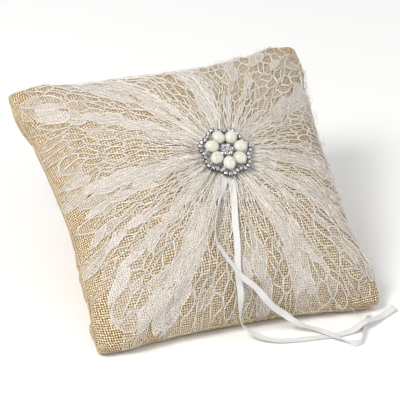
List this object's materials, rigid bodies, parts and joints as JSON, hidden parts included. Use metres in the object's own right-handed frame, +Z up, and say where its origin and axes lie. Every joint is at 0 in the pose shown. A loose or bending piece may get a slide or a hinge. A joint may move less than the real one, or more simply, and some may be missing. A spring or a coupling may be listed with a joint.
{
  "type": "ring bearer pillow",
  "caption": "Square stuffed burlap cushion leaning back on its flattened underside, with a gathered lace overlay, a pearl flower brooch at its middle and two loose satin ribbon tails.",
  "frame": {"origin": "centre of the cushion's footprint, on the surface it lies on", "axes": "+X along the bottom edge, +Z up; the dressed face looks up and towards -Y"},
  "size_m": [0.203, 0.2051, 0.1174],
  "materials": {
    "burlap": "open plain weave jute, matt",
    "burlap_thread": "twisted jute-coloured thread",
    "lining": "plain cotton",
    "fill": "loose polyester fibre",
    "lace": "corded cotton lace, soft matt",
    "lace_thread": "cotton sewing thread",
    "satin": "satin, soft sheen",
    "silver_plate": "bright silver plate",
    "rhinestone": "clear faceted glass, foiled back",
    "pearl": "cream pearl lustre"
  },
  "bodies": {
    "root": {"fill_core": "fill", "lining_front": "lining", "lining_back": "lining", "burlap_front": "burlap", "burlap_back": "burlap", "seam_thread": "burlap_thread", "closing_stitches": "burlap_thread", "lace_overlay": "lace", "lace_tacks": "lace_thread", "gather_thread": "lace_thread", "ribbon_fold": "satin", "ribbon_tail_long": "satin", "ribbon_tail_short": "satin", "brooch_base": "silver_plate", "brooch_stitches": "lace_thread", "centre_post": "silver_plate", "centre_setting": "silver_plate", "centre_stones": "rhinestone", "petal_frame_1": "silver_plate", "petal_frame_2": "silver_plate", "petal_frame_3": "silver_plate", "petal_frame_4": "silver_plate", "petal_frame_5": "silver_plate", "petal_frame_6": "silver_plate", "petal_frame_7": "silver_plate", "petal_stones_1": "rhinestone", "petal_stones_2": "rhinestone", "petal_stones_3": "rhinestone", "petal_stones_4": "rhinestone", "petal_stones_5": "rhinestone", "petal_stones_6": "rhinestone", "petal_stones_7": "rhinestone", "pearl_1": "pearl", "pearl_2": "pearl", "pearl_3": "pearl", "pearl_4": "pearl", "pearl_5": "pearl", "pearl_6": "pearl", "pearl_7": "pearl"}
  },
  "joints": []
}
